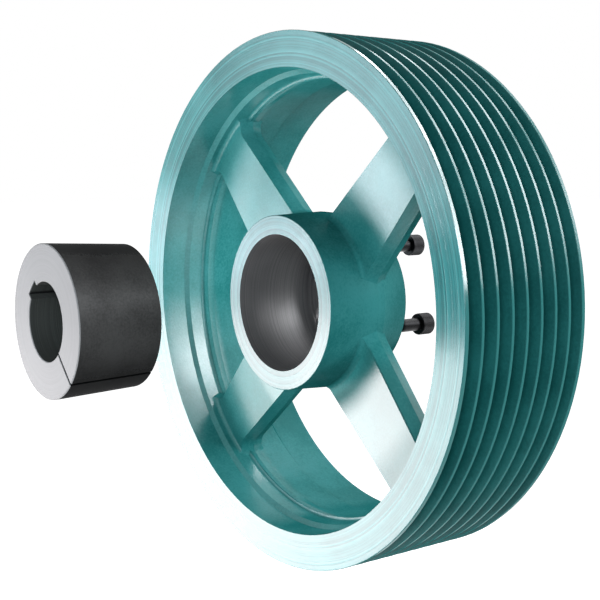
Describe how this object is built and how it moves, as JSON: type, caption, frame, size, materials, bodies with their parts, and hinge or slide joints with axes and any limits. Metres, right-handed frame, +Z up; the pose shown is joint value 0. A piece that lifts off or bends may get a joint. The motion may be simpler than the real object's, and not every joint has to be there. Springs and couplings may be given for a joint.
{
  "type": "pulley",
  "caption": "V-belt pulley with a multi-groove rim, spoked arms and a tapered hub bore; its split tapered bush and cap screws are drawn clear of the hub along the shaft axis.",
  "frame": {"origin": "on the shaft axis, midway across the rim's width", "axes": "+Y along the shaft axis, from the front face to the rear face; +Z up; the arms stand at 45 degrees to X and Z"},
  "size_m": [0.5669, 0.4587, 0.567],
  "materials": {
    "painted_iron": "teal enamel on cast iron, satin, with fine turned faces",
    "bush_iron": "turned cast iron, darkened outside, bright end face",
    "screw_steel": "black oxide alloy steel"
  },
  "bodies": {
    "wheel": {"sheave": "painted_iron"},
    "bush": {"tapered_bush": "bush_iron"},
    "screw_1": {"cap_screw_1": "screw_steel"},
    "screw_2": {"cap_screw_2": "screw_steel"},
    "screw_3": {"cap_screw_3": "screw_steel"}
  },
  "joints": [
    {"name": "bush_slide", "type": "slide", "parent": "wheel", "child": "bush", "axis": [0, 1, 0], "range_m": [0, 0.2617]},
    {"name": "screw_1_slide", "type": "slide", "parent": "wheel", "child": "screw_1", "axis": [0, -1, 0], "range_m": [0, 0.0586]},
    {"name": "screw_2_slide", "type": "slide", "parent": "wheel", "child": "screw_2", "axis": [0, -1, 0], "range_m": [0, 0.0806]},
    {"name": "screw_3_slide", "type": "slide", "parent": "wheel", "child": "screw_3", "axis": [0, -1, 0], "range_m": [0, 0.0696]}
  ]
}
